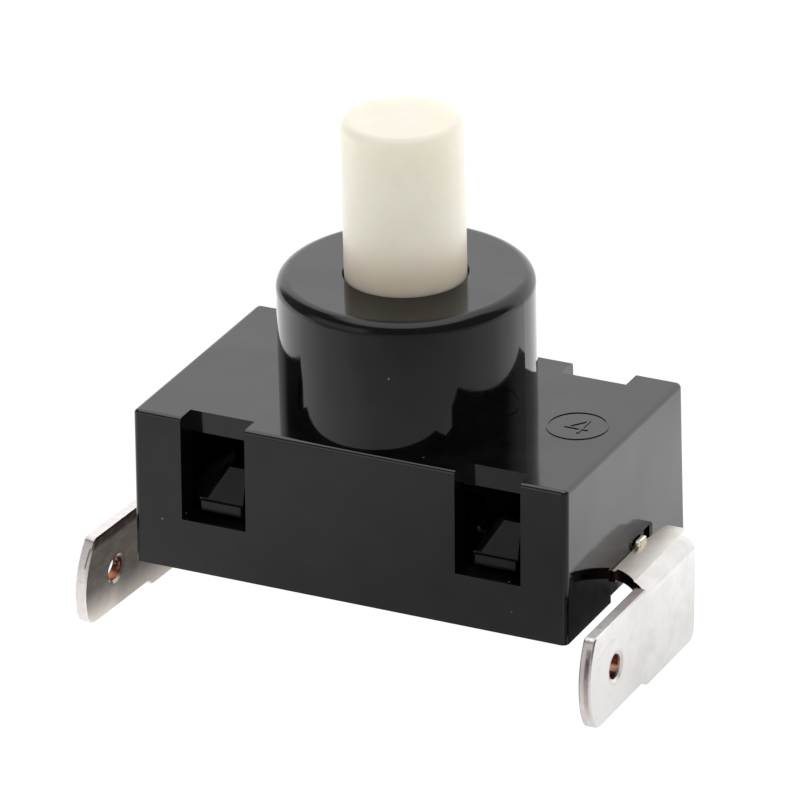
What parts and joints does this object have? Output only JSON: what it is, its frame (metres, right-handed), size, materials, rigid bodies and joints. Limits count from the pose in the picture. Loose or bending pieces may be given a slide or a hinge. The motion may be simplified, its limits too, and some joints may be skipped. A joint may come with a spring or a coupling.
{
  "type": "pushbutton switch",
  "caption": "Latching push-push switch: black snap-together box with a round collar, ivory cylindrical button and two side flag blade terminals.",
  "frame": {"origin": "on the collar axis, at the panel seating face (the flat top of the box)", "axes": "+Z along the collar axis, the way the button stands out; +X along the long side of the box, from the left terminal to the right one; -Y the way the two terminal blades point"},
  "size_m": [0.0363, 0.0208, 0.0345],
  "materials": {
    "black_plastic": "glossy black moulded plastic",
    "black_plastic_base": "satin black moulded plastic",
    "ivory_plastic": "ivory moulded plastic with a soft sheen",
    "white_acetal": "natural white acetal",
    "spring_steel": "drawn stainless spring wire",
    "copper_alloy": "bare copper alloy strip",
    "silver_contact": "fine silver rivet",
    "plated_brass": "nickel-plated brass, slightly satin, brown brass showing at cut edges"
  },
  "bodies": {
    "casing": {"housing": "black_plastic", "base": "black_plastic_base", "terminal_left": "plated_brass", "terminal_right": "plated_brass", "fixed_contact_left": "silver_contact", "fixed_contact_right": "silver_contact", "return_spring": "spring_steel"},
    "button": {"button": "ivory_plastic", "button_spring": "spring_steel"},
    "carrier": {"contact_carrier": "white_acetal", "contact_spring": "spring_steel"},
    "rotor": {"ratchet_rotor": "white_acetal"},
    "bridge": {"contact_bridge": "copper_alloy", "bridge_contact_left": "silver_contact", "bridge_contact_right": "silver_contact"}
  },
  "joints": [
    {"name": "button_press", "type": "slide", "parent": "casing", "child": "button", "axis": [0, 0, -1], "range_m": [0, 0.0032], "stiffness_N_per_m": 900},
    {"name": "carrier_slide", "type": "slide", "parent": "casing", "child": "carrier", "axis": [0, 0, -1], "range_m": [0, 0.0032], "deforming": ["return_spring"]},
    {"name": "rotor_turn", "type": "hinge", "parent": "carrier", "child": "rotor", "pos_m": [0, 0, 0], "axis": [0, 0, 1], "range_deg": [0, 45]},
    {"name": "bridge_overtravel", "type": "slide", "parent": "carrier", "child": "bridge", "axis": [0, 0, 1], "range_m": [0, 0.0008], "deforming": ["contact_spring"]}
  ],
  "couplings": [
    {"joint": "carrier_slide", "follows": "button_press", "ratio": 1},
    {"joint": "rotor_turn", "follows": "button_press", "rad_per_m": 245.4},
    {"joint": "bridge_overtravel", "follows": "button_press", "ratio": 0.25}
  ]
}
